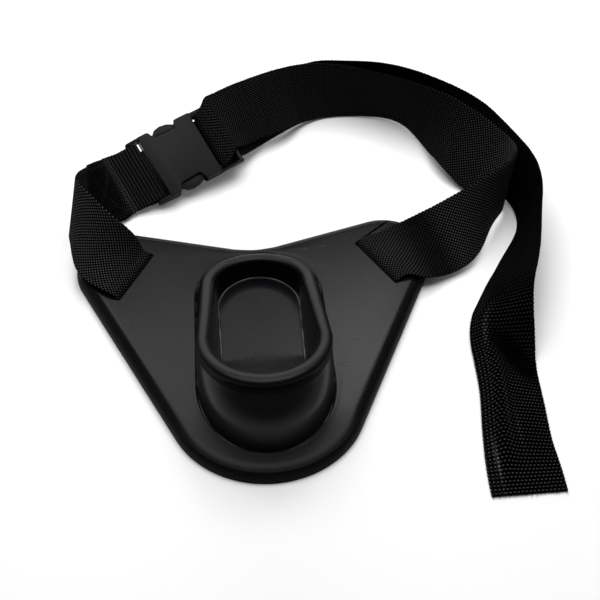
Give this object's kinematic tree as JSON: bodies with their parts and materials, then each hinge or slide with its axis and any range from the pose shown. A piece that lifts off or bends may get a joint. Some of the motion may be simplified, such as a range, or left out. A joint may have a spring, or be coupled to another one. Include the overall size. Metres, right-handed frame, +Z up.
{
  "type": "fishing rod bucket",
  "caption": "Shield-shaped moulded waist plate with a slanted open cup for a fishing rod butt, on an adjustable webbing belt with a side-release buckle.",
  "frame": {"origin": "bottom centre of the bounding box, on the surface that the plate's rim lies on", "axes": "+X to the belt's adjusting side, +Y from the plate's tip to the waist belt, +Z up out of the cup's mouth"},
  "size_m": [0.3634, 0.4128, 0.0656],
  "materials": {
    "moulded_plastic": "satin black injection moulding, lightly scuffed",
    "webbing": "black plain-weave polypropylene webbing",
    "buckle_plastic": "fine-textured black acetal"
  },
  "bodies": {
    "root": {"shield_plate": "moulded_plastic", "rod_cup": "moulded_plastic", "short_strap": "webbing", "long_strap": "webbing", "buckle_socket": "buckle_plastic", "buckle_prongs": "buckle_plastic"}
  },
  "joints": []
}
